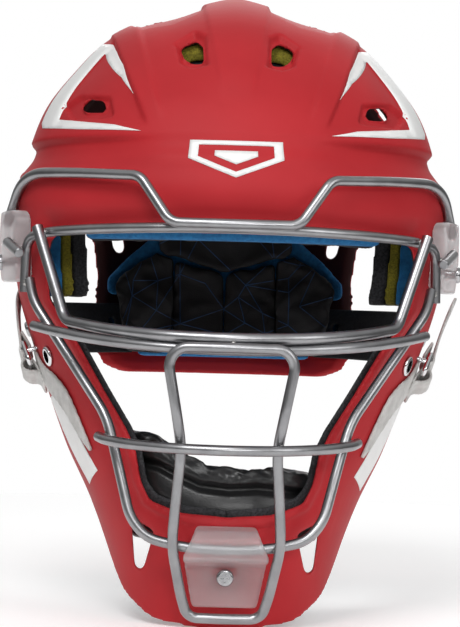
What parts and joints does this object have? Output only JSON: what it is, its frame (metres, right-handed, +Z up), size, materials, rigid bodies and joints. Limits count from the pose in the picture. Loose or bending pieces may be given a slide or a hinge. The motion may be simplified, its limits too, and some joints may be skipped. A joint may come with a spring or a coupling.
{
  "type": "catcher's mask",
  "caption": "Two-piece hard-shell baseball catcher's mask with a bent-wire face cage, layered foam padding, side clips, chin clip, cheek straps and a floating back plate.",
  "frame": {"origin": "middle of the head cavity, midway between the ears", "axes": "+Z up through the crown, -Y forward through the face opening, +X to the wearer's left"},
  "size_m": [0.2434, 0.2842, 0.3151],
  "materials": {
    "shell_red": "matte, fine grain",
    "cage_steel": "satin grey",
    "screw_steel": "satin",
    "hardware_chrome": "polished",
    "clip_clear": "frosted translucent",
    "foam_blue": "closed-cell foam",
    "foam_yellow": "open-cell foam",
    "foam_black": "speckled closed-cell foam",
    "pad_fabric": "padded fabric with a fine blue line pattern",
    "pad_leather": "soft synthetic leather",
    "elastic_black": "woven elastic",
    "webbing_white": "woven webbing"
  },
  "bodies": {
    "front": {"cage_brow_wire": "cage_steel", "cage_centre_loop": "cage_steel", "cage_cross_wire": "cage_steel", "cage_eye_wire": "cage_steel", "cage_jaw_wire": "cage_steel", "cage_mouth_wire": "cage_steel", "cage_peg_left": "cage_steel", "cage_peg_right": "cage_steel", "cage_top_wire": "cage_steel", "cheek_strap_left": "webbing_white", "cheek_strap_right": "webbing_white", "chin_clip": "clip_clear", "chin_clip_nut": "screw_steel", "chin_clip_screw": "screw_steel", "chin_pad": "pad_leather", "crown_foam": "foam_yellow", "crown_pad": "pad_fabric", "crown_screw_front": "screw_steel", "crown_strap": "elastic_black", "forehead_foam_firm": "foam_blue", "forehead_foam_soft": "foam_yellow", "forehead_pad": "pad_fabric", "front_shell": "shell_red", "jaw_pad_left": "foam_black", "jaw_pad_right": "foam_black", "side_clip_left": "clip_clear", "side_clip_nut_left": "screw_steel", "side_clip_nut_right": "screw_steel", "side_clip_right": "clip_clear", "side_clip_screw_left": "screw_steel", "side_clip_screw_right": "screw_steel", "side_strap_left": "elastic_black", "side_strap_right": "elastic_black", "strap_buckle_left": "hardware_chrome", "strap_buckle_right": "hardware_chrome", "strap_eyelet_left": "hardware_chrome", "strap_eyelet_right": "hardware_chrome", "strap_screw_front_left": "screw_steel", "strap_screw_front_right": "screw_steel", "temple_foam_firm_left": "foam_blue", "temple_foam_firm_right": "foam_blue", "temple_foam_soft_left": "foam_yellow", "temple_foam_soft_right": "foam_yellow", "temple_pad_left": "pad_fabric", "temple_pad_right": "pad_fabric"},
    "rear_plate": {"crown_screw_rear": "screw_steel", "rear_foam_firm": "foam_blue", "rear_foam_soft": "foam_yellow", "rear_pad_inner_left": "pad_fabric", "rear_pad_inner_right": "pad_fabric", "rear_pad_outer_left": "pad_fabric", "rear_pad_outer_right": "pad_fabric", "rear_pad_upper": "pad_fabric", "rear_shell": "shell_red", "strap_screw_rear_left": "screw_steel", "strap_screw_rear_right": "screw_steel"},
    "tail_left": {"strap_tail_left": "webbing_white"},
    "tail_right": {"strap_tail_right": "webbing_white"}
  },
  "joints": [
    {"name": "rear_plate_swing", "type": "hinge", "parent": "front", "child": "rear_plate", "pos_m": [0, 0.053, 0.15], "axis": [1, 0, 0], "range_deg": [0, 25], "stiffness_Nm_per_rad": 0.8, "deforming": ["crown_strap", "side_strap_left", "side_strap_right"]},
    {"name": "strap_tail_left_fold", "type": "hinge", "parent": "front", "child": "tail_left", "pos_m": [0.10405, -0.02164, -0.02298], "axis": [-0.068, 0.8573, -0.5103], "range_deg": [0, 60], "stiffness_Nm_per_rad": 0.004},
    {"name": "strap_tail_right_fold", "type": "hinge", "parent": "front", "child": "tail_right", "pos_m": [-0.10405, -0.02164, -0.02298], "axis": [-0.068, -0.8573, 0.5103], "range_deg": [0, 60], "stiffness_Nm_per_rad": 0.004}
  ]
}
